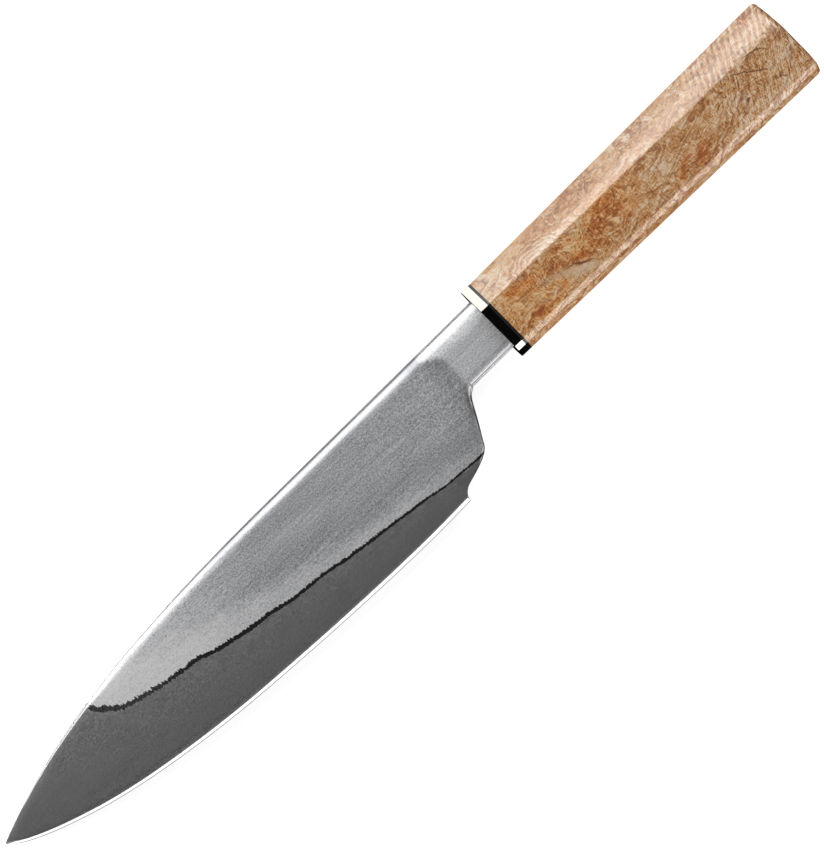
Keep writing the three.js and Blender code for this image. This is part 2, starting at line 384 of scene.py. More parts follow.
# %% Finishes
class Finish:
    """A material whose nodes feed one Principled shader."""

    def __init__(self, name):
        self.material = bpy.data.materials.new(name)
        self.material.use_nodes = True
        self.tree = self.material.node_tree
        self.tree.nodes.clear()
        self.shader = self.tree.nodes.new("ShaderNodeBsdfPrincipled")
        self.node("OutputMaterial", self.shader.outputs[0])
        self.point = self.node("TexCoord", output="Object")

    def node(self, kind, *values, output=None, stops=(), **settings):
        """Adds a node and returns an output, the first one unless another is named.

        The kind may carry an operation, as in "Math ADD". Values fill the sockets that the node
        shows, from the top. A setting in small letters is a property of the node, any other is a
        socket's name. Stops are the places and hex colours of a colour ramp.
        """
        kind, _, operation = kind.partition(" ")
        made = self.tree.nodes.new("ShaderNode" + kind)
        if operation:
            made.operation = operation
        for name in [name for name in settings if name.islower()]:
            setattr(made, name, settings.pop(name))
        for socket, value in zip([s for s in made.inputs if s.enabled], values):
            feed(socket, value)
        for name, value in settings.items():
            feed(made.inputs[name.replace("_", " ")], value)
        if stops:
            elements = made.color_ramp.elements
            while len(elements) < len(stops):
                elements.new(0.5)
            for element, (at, shade) in zip(elements, stops):
                element.position, element.color = at, colour(shade)
        if output:
            return made.outputs[output]
        return next((s for s in made.outputs if s.enabled), None)

    def pattern(self, kind, size, source=None, turn=0.0, centre=(0, 0, 0), **settings):
        """Adds a node that reads a place in which one unit is so many mm along each axis.

        The axes may be turned by some degrees about a centre.
        """
        place = self.node(
            "Mapping", source or self.point, centre, (0, 0, math.radians(turn)),
            [side * MM for side in size], vector_type="TEXTURE")
        if kind.startswith("Tex"):
            settings = {"Scale": 1.0, **settings}
        return self.node(kind, place, **settings)

    def layered(self, start, *layers):
        """Start plus each pattern's swing about its middle, times its weight."""
        for pattern, middle, weight in layers:
            swing = self.node("Math SUBTRACT", pattern, middle) if middle else pattern
            start = self.node("Math MULTIPLY_ADD", swing, weight, start)
        return start

    def shade(self, **sockets):
        """Sets or links sockets of the shader."""
        for name, value in sockets.items():
            feed(self.shader.inputs[name.replace("_", " ")], value)
        print(self.material.name, "has", len(self.tree.nodes), "nodes")


# %% [markdown]
# The core is hard carbon steel, ground on a wet wheel to a fine satin. To the eye it is an even
# grey with hardly visible scratches along the blade; its colour is drawn darker towards the edge,
# and lighter on the rounded back of the tip, which is a painted highlight. Real scratches are about
# 0.02 mm apart; they are drawn six times as coarse, so that they show at all.

# %% Core steel
core = Finish("satin_ground_core_steel")
# tone from the mesh: darker towards the edge, with a painted highlight on the rounded back of the
# tip
drawn = core.node("Attribute", attribute_name="tone", output="Fac")
scratch = core.pattern("TexNoise", (6.0, 0.12, 6.0), Detail=3.0, Roughness=0.6)
cloud = core.pattern("TexNoise", (9.0, 5.0, 5.0), Detail=3.0)
frost = core.pattern("TexNoise", (0.5, 0.4, 0.5), Detail=3.0, Roughness=0.7)
tone = core.layered(
    0.12, (scratch, 0.5, 0.5), (cloud, 0.5, 0.14), (frost, 0.5, 0.5), (drawn, 0, 0.7))
core.shade(
    Base_Color=core.node("ValToRGB", tone, stops=[
        (0.0, "#747475"), (0.5, "#adadad"), (1.0, "#dedede")]),
    Metallic=1.0,
    Roughness=core.node("MapRange", frost, 0.3, 0.7, 0.29, 0.39),
    Normal=core.node("Bump", Height=scratch, Distance=0.002 * MM),
)

# %% [markdown]
# The last millimetre is the same steel, honed on a fine stone until it mirrors the lamps. To the
# eye it is a thin white line along the edge. It could be painted by distance from the edge inside
# the core's material, but a second material on its own faces is simpler to change. Honing leaves
# nothing coarse enough to draw, so the finish is a low roughness with a faint haze.

# %% Honed edge
honed = Finish("honed_edge_steel")
haze = honed.pattern("TexNoise", (2.0, 0.3, 2.0), Detail=2.0)
honed.shade(
    Base_Color=colour("#f4f4f4"), Metallic=1.0,
    Roughness=honed.node("MapRange", haze, 0.3, 0.7, 0.15, 0.17),
)

# %% [markdown]
# The cladding is softer stainless steel. Light etching leaves a frosty grain, crossed by faint
# lines from brushing along the blade, and the rounded back is polished. To the eye it is a paler,
# grainier grey than the core. Etched grain is about 0.1 mm; it is drawn four times as coarse.

# %% Cladding steel
cladding = Finish("etched_brushed_cladding_steel")
# tone from the mesh, carrying the claddings' painted light and painted shade
drawn = cladding.node("Attribute", attribute_name="tone", output="Fac")
polish = cladding.node("Attribute", attribute_name="polish", output="Fac")
grain = cladding.pattern("TexNoise", (0.48, 0.42, 0.45), Detail=3.0, Roughness=0.75)
brushed = cladding.pattern("TexNoise", (14.0, 0.4, 14.0), Detail=4.0, Roughness=0.7)
cloud = cladding.pattern("TexNoise", (16.0, 7.0, 7.0), Detail=4.0)
streaks = cladding.pattern("TexNoise", (26.0, 1.1, 9.0), Detail=1.5, Distortion=0.25)
streaks = cladding.node("MapRange", streaks, 0.6, 0.7)
texture = cladding.layered(-0.02, (grain, 0.5, 1.5), (brushed, 0.5, 0.5))
contrast = cladding.node("MapRange", polish, 0, 1, 1.0, 0.25)
tone = cladding.layered(drawn, (texture, 0, contrast), (streaks, 0, 0.07), (cloud, 0.5, 0.2))
cladding.shade(
    Base_Color=cladding.node("ValToRGB", tone, stops=[
        (0.0, "#7e7f81"), (0.2, "#96979a"), (0.4, "#c2c3c6"), (0.7, "#ececed"), (1.0, "#ffffff")]),
    Metallic=1.0,
    Roughness=cladding.node("MapRange", polish, 0, 1, 0.45, 0.28),
    Normal=cladding.node("Bump", Height=grain, Distance=0.006 * MM),
)

# %% [markdown]
# The dark layer is steel rich in carbon, and the same etch turns it nearly black and a little
# rough. To the eye it is an inked line between the two greys, speckled where the acid bit deeper.
# Etched steel is half metal and half oxide, so the metallic value lies between the two. The specks
# are about 0.1 mm on the real one and are drawn four times as coarse.

# %% Dark layer
dark = Finish("etched_dark_layer")
drawn = dark.node("Attribute", attribute_name="tone", output="Fac")
speck = dark.pattern("TexNoise", (0.45, 0.45, 0.45), Detail=3.0, Roughness=0.7)
dark.shade(
    Base_Color=dark.node("ValToRGB", dark.node("Math ADD", speck, drawn), stops=[
        (0.3, "#060606"), (0.7, "#1c1c1c"), (0.867, "#4a4a4a")]),
    Metallic=0.6,
    Roughness=0.6,
)

# %% [markdown]
# ## The blade's pieces
#
# All layers share the same stations along the knife, so their faces meet edge to edge. The
# stations lie closest together where the seam is ragged, and a few are enough for the plain neck
# and for the tang, which is a flat bar hidden in the handle.

# %% Stations along the knife
def spaced(start, end, step):
    count = max(round((end - start) / step), 1)
    return [start + (end - start) * i / count for i in range(count)]


TANG_END_X, TANG_HALF = 301.0, 1.5
JOIN = 0.02  # mm on each side of the step between neck and tang
STATIONS = (
    spaced(POINT_X, 10, 0.4) + spaced(10, 45, 1.0) + spaced(45, HEEL_X, 0.25)
    + spaced(HEEL_X, 200, 0.25) + spaced(200, WOOD_X - JOIN, 2.0)
    + [WOOD_X - JOIN, WOOD_X + JOIN, TANG_END_X]
)


def tang_heights(x, count):
    """Even heights across the tang, which tapers towards its end."""
    share = (x - WOOD_X) / (TANG_END_X - WOOD_X)
    low, high = 2.9 + 2.5 * share, 14.1 - 2.3 * share
    return [low + (high - low) * i / (count - 1) for i in range(count)]


def outer_half(x, y):
    return envelope(x, y) if x < WOOD_X else TANG_HALF


print(len(STATIONS), "stations")

# %% [markdown]
# The back of the blade is rounded, so its rows of faces crowd together towards the outline. Evenly
# spaced rows would cut the roundness into steps.

# %% Rows of the rounded back
ROUND_SHARES = [0.0, 0.02, 0.06, 0.12, 0.2, 0.3, 0.42, 0.56, 0.72, 0.86, 1.0]


def spine_rows(x, above):
    """Heights of the rounded back, from its foot up to the outline."""
    top = on("spine", x)
    width = min(forged_width(x), 0.8 * (top - above))
    return [top - width * (1 - s) for s in [1 - r for r in reversed(ROUND_SHARES)]]


print("rows in the rounded back:", len(ROUND_SHARES))

# %% [markdown]
# The core is one sheet for both sides. It shows on the wide bevel and the whole tip; above the seam
# it steps in a little and goes on under the cladding, as the real one does.

# %% Shape of the core
BEVEL_SHARES = (0, 0.25, 0.5, 0.75, 1.0)
BARE_ROWS, HIDDEN_ROWS = 10, 5


def seam_at(x):
    """Where the core stops showing; never, on the tip."""
    return core_seam(x) if x > BARE_X else 99.0


def edge_bevel(x):
    return min(EDGE_BEVEL, 0.25 * (on("spine", x) - low_side(x)))


def core_heights(x):
    low, top = low_side(x), on("spine", x) - 0.02
    count = len(BEVEL_SHARES) + BARE_ROWS + HIDDEN_ROWS + 1 + len(ROUND_SHARES)
    if x > WOOD_X:
        return tang_heights(x, count)
    height = top - low
    bevel = min(EDGE_BEVEL, 0.25 * height)
    seam = min(max(seam_at(x), low + bevel + 0.05 * height), top - 0.3 * height)
    rows = [low + bevel * q for q in BEVEL_SHARES]
    rows += [low + bevel + (seam - low - bevel) * i / BARE_ROWS for i in range(1, BARE_ROWS)]
    rows += [seam - 0.04, seam, seam + 0.02]
    back = spine_rows(x, seam + 0.02)
    rows += [seam + 0.02 + (back[0] - seam - 0.02) * i / HIDDEN_ROWS for i in range(1, HIDDEN_ROWS)]
    return rows + [min(y, top) for y in back]


def core_outer(x, y):
    if x > WOOD_X:
        return CORE_HALF
    e = envelope(x, y)
    return e if y <= seam_at(x) + 0.005 and x < 186 else max(min(e - 0.05, CORE_HALF), 0.02)


def core_look(x, y):
    """Lighter from the edge up to the seam; on the rounded back of the tip, a painted highlight."""
    line_x = max(x, BARE_X)
    up = (y - low_side(x)) / max(on("lamination", line_x) - on("edge", min(line_x, HEEL_X)), 5)
    # painted highlight on the rounded back near the tip
    back = 1 - smoothstep(on("spine", x) - y, 0, 3.0)
    return min(max(0.34 + 0.28 * up, 0), 1) + (0.4 * back if x < 60 else 0), 0.0


print("rows of the core:", len(core_heights(100)))

# %% [markdown]
# The honed faces are picked out along the edge. The outermost ones stay satin: they are what gives
# the white line a thin grey border against a pale table.

# %% Core of the blade
bm = sheet(STATIONS, core_heights, core_outer, lambda x, y: -core_outer(x, y), core_look)
core_obj = finish_mesh(bm, "core_blade", [core.material, honed.material])
count_honed = 0
for face in core_obj.data.polygons:
    x, y, _ = (face.center - SHIFT) / MM
    gap = y - low_side(x)
    if x < HEEL_X and 0.25 * edge_bevel(x) < gap < edge_bevel(x) and abs(face.normal.z) > 0.5:
        face.material_index = 1
        count_honed += 1
print("honed faces:", count_honed)
place(core_obj, "core_steel", "core_steel")

# %% [markdown]
# Each cladding starts at the ragged seam and covers the flank, the neck and the tang. One mesh with
# the core would render the same, but the layers of a real blade are separate steels, so each is a
# closed piece with a hair of space to the next. Its first rows lie close together, where it thins
# out to the seam.

# %% Shape of the claddings
CLAD_STATIONS = [x for x in STATIONS if x > 46.4]
SEAM_SHARES = (0, 0.01, 0.06, 0.12, 0.2, 0.32, 0.46, 0.62, 0.8, 1.0)
FLANK_ROWS = 9
GLUE = 0.03  # mm left between neighbouring layers inside the blade


def cladding_heights(x):
    if x > WOOD_X:
        return tang_heights(x, len(SEAM_SHARES) + FLANK_ROWS - 1 + len(ROUND_SHARES))
    top = on("spine", x)
    low = max(cladding_seam(x), low_side(x)) if x < SEAM_END_X else low_side(x)
    low = min(low, top - 0.1)
    near = min(3.0, 0.35 * (top - low))
    rows = [low + near * q for q in SEAM_SHARES]
    back = spine_rows(x, low + near)
    rows += [low + near + (back[0] - low - near) * i / FLANK_ROWS for i in range(1, FLANK_ROWS)]
    return rows + back


def hidden_half(x, y, depth, limit):
    """Half thickness of a face inside the blade, so deep under the surface, within a limit."""
    return max(min(outer_half(x, y) - depth, limit), 0.02)


def cladding_inner(x, y):
    return hidden_half(x, y, GLUE, CORE_HALF + 0.04) + 0.001


thickness = outer_half(HEEL_X, 8) - cladding_inner(HEEL_X, 8)
print("cladding at the heel:", round(thickness, 2), "mm thick")

# %% [markdown]
# Some places are painted lighter than others, as painted light: the thin tip, the band above the
# seam, the neck. The hollow just before the neck is painted darker, as painted shade. The look rule
# gives these as soft numbers, and the material turns them into steel.

# %% Look of the claddings
def cladding_look(x, y):
    """Painted light towards the tip, in the band just above the seam and on the neck; painted shade
    in the hollow before the plunge line; polished where it is rounded.
    """
    if x > WOOD_X:
        return 0.3, 0.0
    above = y - on("lamination", min(max(x, BARE_X), SEAM_END_X))
    band_width = 8.5 - 4.5 * smoothstep(x, 90, 150)
    band = 1 - smoothstep(above, 0.55 * band_width, 1.25 * band_width)
    band *= 1 - 0.8 * smoothstep(x, 158, 186)
    tip = (1 - smoothstep(x, 62, 118)) * (1 - 0.4 * smoothstep(above, 7, 13))
    neck = smoothstep(x, plunge_line(y) - 0.6, plunge_line(y) + 1.4)
    rounded = forged_width(x)
    back = 1 - smoothstep(on("spine", x) - y, 0.22 * rounded, 0.52 * rounded)
    foot = smoothstep(x, 186, 192) * (1 - smoothstep((y - low_side(x)) * slope_factor(x), 0.8, 1.8))
    hollow_shade = smoothstep(x, plunge_line(y) - 9, plunge_line(y) - 1) * (1 - neck)
    # painted light on tip, seam band and neck; painted shade in the hollow before the plunge line
    return 0.37 + 0.2 * band * (1 - tip) + 0.46 * tip + 0.15 * neck - 0.08 * hollow_shade, max(back, foot)


print("tone of the flank:", [round(cladding_look(x, 8)[0], 2) for x in (60, 100, 140, 180, 205)])

# %% [markdown]
# The dark layer shows only between the two seams, and under the cladding it is a thin hidden skin.
# It needs few rows: two across the line that shows, and the rest evenly up to the back.

# %% Shape and look of the dark layers
def dark_heights(x):
    if x > WOOD_X:
        return tang_heights(x, 7)
    top = on("spine", x) - 0.05
    low = max(core_seam(x), low_side(x)) if x < SEAM_END_X else low_side(x) + 0.05
    low = min(low, top - 0.1)
    high = min(max(cladding_seam(x), low + 0.02), top - 0.05) if x < SEAM_END_X else low + 0.02
    rest = top - high
    rows = [low, low + 0.5 * (high - low), high, high + 0.02]
    return rows + [high + 0.3 * rest, high + 0.7 * rest, top]


def dark_outer(x, y):
    if x < SEAM_END_X and y <= cladding_seam(x) + 0.005:
        return envelope(x, y) - 0.004
    return hidden_half(x, y, GLUE, CORE_HALF + 0.04)


def dark_inner(x, y):
    return hidden_half(x, y, 0.05, CORE_HALF) + 0.001


def dark_look(x, y):
    """Greyer near the tip, where the layer was ground at the shallowest angle."""
    return 0.3 * (1 - smoothstep(x, 60, 90)), 0.0


print("rows of the dark layer:", len(dark_heights(100)))

# %% [markdown]
# Both sides come from the same rules with the thickness turned over. A Mirror modifier would do
# the same, but each side is a piece of its own.

# %% Claddings and dark layers
SKINS = (
    ("cladding", cladding.material, cladding_heights, outer_half, cladding_inner, cladding_look),
    ("dark_layer", dark.material, dark_heights, dark_outer, dark_inner, dark_look),
)
for side, sign in (("left", 1), ("right", -1)):
    for kind, material, heights, outer, inner, look in SKINS:
        bm = sheet(
            CLAD_STATIONS, heights,
            lambda x, y: sign * outer(x, y), lambda x, y: sign * inner(x, y), look)
        place(finish_mesh(bm, f"{side}_{kind}_skin", [material]), f"{side}_{kind}", kind)

# %% [markdown]
# ## Handle
#
# The section has eight sides: broad flats for the fingers, two wide facets under the palm and
# small ones below. It flares a little towards the butt, which is slightly domed. A stretched
# cylinder with eight sides would have equal facets, so the section is given by its corners.

# %% Handle section
FRONT_HEIGHTS = [-4.75, -2.8, -1.1, 13.4, 21.7]
BUTT_HEIGHTS = [-6.9, -5.4, -3.5, 12.2, 22.4]
HALF_WIDTHS = [4.6, 8.9, 10.5, 10.5, 2.4]
HANDLE_HALF = 10.5
BULGE = 0.22  # mm by which hand sanding leaves each wide upper facet convex
DIAGONAL = 0.707


def section(x, inset=0.0):
    """Corners of the handle's section, as (y, z), with extra points along the convex facet."""
    share = min(max((x - FERRULE_X) / (BUTT_X - FERRULE_X), 0), 1)
    corners = [(a + (b - a) * share, z)
               for a, b, z in zip(FRONT_HEIGHTS, BUTT_HEIGHTS, HALF_WIDTHS)]
    middle = (corners[0][0] + corners[-1][0]) / 2
    half = (corners[-1][0] - corners[0][0]) / 2
    (y0, z0), (y1, z1) = corners[3:]
    bulge = BULGE * DIAGONAL if x > WOOD_X - 0.01 else 0
    facet = []
    for t in (0.2, 0.4, 0.6, 0.8):
        swell = 4 * t * (1 - t) * bulge
        facet.append((y0 + (y1 - y0) * t + swell, z0 + (z1 - z0) * t + swell))
    corners = corners[:4] + facet + corners[4:]
    side = [(middle + (y - middle) * (1 - inset / half), z * (1 - inset / HANDLE_HALF))
            for y, z in corners]
    return side + [(y, -z) for y, z in reversed(side)]


print("handle height at the butt:", BUTT_HEIGHTS[-1] - BUTT_HEIGHTS[0], "mm")

# %% [markdown]
# The tang passes through a slot, so ferrule, spacer and wood are all tubes: rings of points along
# the knife, bridged to each other and to the slot inside. The slot has as many points as the
# section, so bridging joins them one to one.

# %% Rings
def slot_outline(y_low, y_high, half):
    """Points round an upright slot, in step with the section's corners."""
    heights = [0, 0.02, 0.2, 0.6, 0.7, 0.8, 0.9, 0.98, 1]
    ys = [y_low + (y_high - y_low) * h for h in heights]
    zs = [half * 0.5] + [half] * 7 + [half * 0.5]
    side = list(zip(ys, zs))
    return side + [(y, -z) for y, z in reversed(side)]


def ring(bm, outline, x):
    """Closed loop of edges over an outline at a station."""
    made = bmesh.ops.create_circle(bm, segments=len(outline), radius=1.0)
    for vert, (y, z) in zip(made["verts"], outline):
        vert.co = row(x, y, z)
    return list({e for v in made["verts"] for e in v.link_edges})


print("points round the section and the slot:", len(section(WOOD_X)), len(slot_outline(0, 1, 1)))

# %% [markdown]
# Sanding eases the long ridges to a radius of about a fifth of a millimetre. They are the edges
# that run along the knife with a clear angle between their faces, and a bevel rounds just those.

# %% Slotted bodies
RIDGE_ANGLE, FACET_ANGLE = math.radians(18), math.radians(12)


def is_ridge(edge):
    low, high = (v.co for v in edge.verts)
    return (
        len(edge.link_faces) == 2
        and edge.calc_face_angle(0) > RIDGE_ANGLE
        and abs((low - high).normalized().x) > 0.9
        and abs(((low + high) / 2 - SHIFT).z) > 2 * MM
    )


def slotted_body(name, stations, slots, material, ridge_mm):
    """Body over outer stations of (x, inset), with a slot given as stations of (x, outline)."""
    bm = bmesh.new()
    loops = [ring(bm, section(x, inset), x) for x, inset in stations]
    inner = [ring(bm, outline, x) for x, outline in slots]
    for walls in (loops, inner):
        for near, far in zip(walls[:-1], walls[1:]):
            bmesh.ops.bridge_loops(bm, edges=near + far)
    bmesh.ops.bridge_loops(bm, edges=loops[0] + inner[0])
    if abs(stations[-1][0] - slots[-1][0]) < 1e-6:
        bmesh.ops.bridge_loops(bm, edges=loops[-1] + inner[-1])
    else:
        bmesh.ops.holes_fill(bm, edges=loops[-1] + inner[-1])
    bmesh.ops.recalc_face_normals(bm, faces=bm.faces[:])
    bm.edges.ensure_lookup_table()
    bmesh.ops.bevel(
        bm, geom=[e for e in bm.edges if is_ridge(e)], offset=ridge_mm * MM, segments=3,
        profile=0.5, affect="EDGES", clamp_overlap=True, material=-1)
    obj = finish_mesh(bm, name, [material])
    # broad facets keep flat shading next to their small rounded ridges
    obj.data.set_sharp_from_angle(angle=FACET_ANGLE)
    flats = obj.modifiers.new("flat_facets", "WEIGHTED_NORMAL")
    flats.keep_sharp, flats.weight = True, 100
    return obj


# %% [markdown]
# The ferrule is a plate of nickel silver, polished on a buffing wheel. To the eye it is a warm,
# clear mirror: black where it faces the dark room and cream where it faces a lamp. Its hairline
# scratches run across the plate; they are drawn coarser than the real 0.02 mm.

# %% Ferrule
ferrule_metal = Finish("polished_nickel_silver")
hairline = ferrule_metal.pattern("TexNoise", (0.25, 6.0, 6.0), Detail=2.0)
ferrule_metal.shade(
    Base_Color=colour("#c2c0b5"), Metallic=1.0,
    Roughness=ferrule_metal.node("MapRange", hairline, 0.3, 0.7, 0.04, 0.09),
)
NECK_SLOT = slot_outline(-0.85, 17.95, NECK_HALF + 0.03)
EASED = 0.15  # mm taken off the ferrule's front rim
plate = slotted_body(
    "ferrule_plate", [(FERRULE_X, EASED), (FERRULE_X + EASED, 0), (SPACER_X, 0)],
    [(FERRULE_X, NECK_SLOT), (SPACER_X, NECK_SLOT)], ferrule_metal.material, 0.12)
place(plate, "ferrule", "ferrule")

# %% [markdown]
# The spacer is vulcanised fibre: paper pressed hard and dyed black, then sanded flush with the wood
# and waxed. To the eye it is a soft black line with a faint weave, about half a millimetre coarse.
# The wax is a thin clear coat; a lower roughness alone would make it look like glass.

# %% Spacer
fibre = Finish("sanded_black_vulcanised_fibre")
weave = fibre.pattern("TexNoise", (0.4, 1.5, 1.5), Detail=3.0)
fibre.shade(
    Base_Color=fibre.node("ValToRGB", weave, stops=[(0.3, "#070707"), (0.7, "#151413")]),
    Roughness=0.32, Coat_Weight=0.4, Coat_Roughness=0.1,
)
spacer = slotted_body(
    "black_spacer", [(SPACER_X, 0), (WOOD_X, 0)],
    [(SPACER_X, NECK_SLOT), (WOOD_X, NECK_SLOT)], fibre.material, 0.15)
place(spacer, "ferrule_spacer", "spacer")

# %% [markdown]
# ## Burl wood
#
# Burl is the knotty growth of a maple: swirling grain, clusters of tiny eyes, pale clouds and dark
# cracks. The block is soaked with resin and polished, so a clear coat lies over the figure.
# Straight grain could be one wave texture; burl has none, so its figure is drawn on bent
# coordinates, which noise has pushed about by a few millimetres.

# %% Bent coordinates
wood = Finish("stabilised_maple_burl")


def warped(source, size, amount_mm):
    """Coordinates pushed about by noise, which curls whatever is drawn on them."""
    push = wood.pattern("TexNoise", size, Detail=2.0, output="Color")
    push = wood.node("VectorMath SUBTRACT", push, (0.5, 0.5, 0.5))
    push = wood.node("VectorMath SCALE", push, amount_mm * MM)
    return wood.node("VectorMath ADD", source, push)


wavy = warped(wood.point, (10, 7, 10), 5.0)
curled = warped(wavy, (2.6, 2.0, 2.6), 2.0)
lazy = warped(wood.point, (7, 5, 7), 1.6)
bitten = warped(wavy, (1.6, 1.2, 1.6), 1.1)
print("three ways of bending the grain:", 5.0, 2.0, 1.6, "mm")

# %% [markdown]
# No two burls are alike, and this one has its own map: where the eyes cluster, where it is pale,
# and where resin turned it orange or brown. Each spot is an ellipse on the block: its centre in
# the drawing, its two radii in mm, and its turn in degrees.

# %% Spots of the figure
def distance(x, y, along, across, turn=0, source=wavy):
    """Distance from a spot of the drawing, in units of an ellipse's two radii."""
    centre = row(x, y, 0)
    return wood.pattern(
        "VectorMath LENGTH", (along, across, 1e6), source, turn, (centre.x, centre.y, 0))


def patch(*spot):
    """1 inside a spot, fading to 0 at its rim."""
    return wood.node("MapRange", distance(*spot), 1.15, 0.45)


def patches(*spots):
    total = patch(*spots[0])
    for spot in spots[1:]:
        total = wood.node("Math MAXIMUM", total, patch(*spot))
    return total


EYES = [(249, 19.5, 3.5, 3.2), (262, 19, 7.5, 3.0), (278, 19, 5.5, 4.2), (288, 19.5, 4.5, 3.2),
        (301, 20, 4.2, 2.4), (246, 10.5, 5, 3.4), (259, 7, 9.5, 6.5), (233, 7.5, 2.5, 5.0)]
ASH_STREAK = (243, 2.4, 14, 1.9, -30)
PALE = [ASH_STREAK, (226, 5.5, 7, 2.0, -8), (238, 15, 9, 2.0), (280, 14.5, 12, 1.5),
        (313, 3, 10, 4, -20), (324, -3, 16, 3.4), (222, 17.5, 8, 4), (282, 7, 7, 4.5),
        (245.5, 8, 5.5, 3.2)]
GOLDEN = [(231, 7, 16, 7), (252, 8, 14, 7), (262, 10, 14, 6), (229, 0, 10, 3)]
ORANGE = [(227, 10.8, 8, 2.2), (227, 1.0, 6.5, 1.8, 8), (237, 1.2, 2.2, 1.5, 40),
          (244, 10.2, 5, 1.6), (261, 8, 9, 5.5), (253, 3.6, 3.5, 1.2, -60), (265, 4.5, 6, 3.4),
          (294, 0.8, 4.6, 2.8, 30), (286, 1.0, 7, 1.2, 38), (331, 20, 2, 3),
          (247, 4.6, 4, 1.5, -10)]
BROWN = [(294.5, 1.2, 5, 2.6, 30), (286, 1, 7, 1.1, 38), (253, 3.6, 3.5, 1.2, -60),
         (227, 0.8, 6, 1.5, 8), (262, 6.5, 8, 4.5), (240, 11, 5, 1.4), (331, 20, 2, 3),
         (262, 20.5, 10, 1.6), (282, 20.5, 8, 1.5)]
eyes_zone, pale_zone, orange_zone, brown_zone = (
    patches(*spots) for spots in (EYES, PALE, ORANGE, BROWN))
ash_zone = patch(*ASH_STREAK)
golden_zone = wood.layered(patches(*GOLDEN), (ash_zone, 0, -0.8))
print("spots on the map:", sum(len(spots) for spots in (EYES, PALE, GOLDEN, ORANGE, BROWN)))

# %% [markdown]
# Two more zones follow the block's shape: the butt, where the grain stands steeper, and the upper
# facet, which shows it from another side.

# %% Butt and upper facet
BUTT_ZONE_X, FACET_Y = (300, 309), (12.7, 13.1)
butt_zone = wood.node(
    "MapRange", wood.node("SeparateXYZ", wood.point, output="X"),
    *(row(x, 0, 0).x for x in BUTT_ZONE_X))
upper_facet = wood.node(
    "MapRange", wood.node("SeparateXYZ", wood.point, output="Y"),
    *(row(0, y, 0).y for y in FACET_Y))
flame_zone = wood.node("Math MULTIPLY", butt_zone, upper_facet)
print("the grain steepens from", BUTT_ZONE_X, "mm and the upper facet starts at", FACET_Y, "mm")

# %% [markdown]
# Growth lines are contours of a hilly field, as height lines are on a map, with a steep hill round
# each cluster of eyes. The fraction of the field's height repeats from line to line, and two ramps
# turn it into a dark line and, beside it, a painted highlight, which makes every line look
# embossed.

# %% Growth lines
slow = wood.pattern("TexNoise", (26, 15, 15), wavy, Detail=1.0)
quick = wood.pattern("TexNoise", (2.4, 1.9, 2.2), curled, Detail=0.3)
arch = distance(236.5, 11.5, 1.9, 1.25)
arch_share = wood.node("Math MULTIPLY", wood.node("MapRange", arch, 8.0, 5.5), upper_facet)
steepness = wood.node("MapRange", eyes_zone, 0, 1, 1.0, 3.6)
hills = wood.layered(wood.node("Math MULTIPLY", slow, 12.0), (quick, 0, steepness))
field = wood.node("Mix", arch_share, hills, wood.layered(arch, (quick, 0, 1.4)))
phase = wood.node("Math FRACT", field)
BLACK, WHITE = "#000000", "#ffffff"
line_dark = wood.node("ValToRGB", phase, stops=[
    (0.0, BLACK), (0.16, WHITE), (0.36, BLACK), (1.0, BLACK)])
# painted highlight along one side of each dark growth line
line_highlight = wood.node("ValToRGB", phase, stops=[
    (0.34, BLACK), (0.52, WHITE), (0.8, BLACK), (1.0, BLACK)])
line_fade = wood.node(
    "MapRange", wood.pattern("TexNoise", (8, 5, 6), Detail=2.0), 0.4, 0.6, 0.1, 0.9)
for zone in (arch_share, eyes_zone):
    line_fade = wood.node("Math MAXIMUM", line_fade, zone)
print("growth lines made with", len(wood.tree.nodes), "nodes so far")

# %% [markdown]
# Fine fibre crosses the figure in two directions and leans ever more towards the butt, where broad
# flames show. Real fibres and pores are near 0.1 mm wide; they are drawn three to five times as
# coarse, which still reads as a silky nap.

# %% Fibre, flames and pores
along = wood.pattern("TexNoise", (2.6, 0.34, 0.8), wavy, 6, Detail=2.0, Roughness=0.65)
across = wood.pattern("TexNoise", (0.32, 2.2, 0.8), wavy, 4, Detail=2.0, Roughness=0.65)
leaning = wood.pattern("TexNoise", (0.34, 5.5, 1.2), lazy, -30, Detail=2.0, Roughness=0.6)
flame = wood.pattern(
    "TexWave", (1, 1, 1), lazy, -32, output="Fac", Scale=0.17, Distortion=3.0, Detail=2.0,
    Detail_Scale=0.3)
mottle = wood.pattern("TexNoise", (2.4, 1.8, 2.2), curled, Detail=3.0, Roughness=0.62)
clouds = wood.pattern("TexNoise", (15, 6, 9), wavy, Detail=3.0)
pores = wood.pattern("TexNoise", (0.5, 0.45, 0.5), Detail=2.0, Roughness=0.7)

fine = wood.layered(0.0, (along, 0.5, 0.62), (across, 0.5, 0.62), (pores, 0.5, 0.55))
tone = wood.layered(
    0.475,
    (fine, 0, wood.node("MapRange", upper_facet, 0, 1, 1.8, 1.15)),
    (leaning, 0.5, wood.node("Math MULTIPLY", butt_zone, 1.4)),
    (clouds, 0.5, 0.6),
    (mottle, 0.5, wood.node("MapRange", eyes_zone, 0, 1, 0.4, 1.0)),
    (flame, 0.55, wood.node("Math MULTIPLY", flame_zone, 0.3)),
    (pale_zone, 0, 0.17),
    # the painted highlight beside the growth lines
    (line_highlight, 0, wood.node("Math MULTIPLY", line_fade, 0.25)),
)
print("fibre and pores made with", len(wood.tree.nodes), "nodes so far")

# %% [markdown]
# The tone becomes colour through ramps: honey brown over the whole block, then golden, orange and
# brown where the map says so, each broken up by the mottle so that no spot has a plain rim.

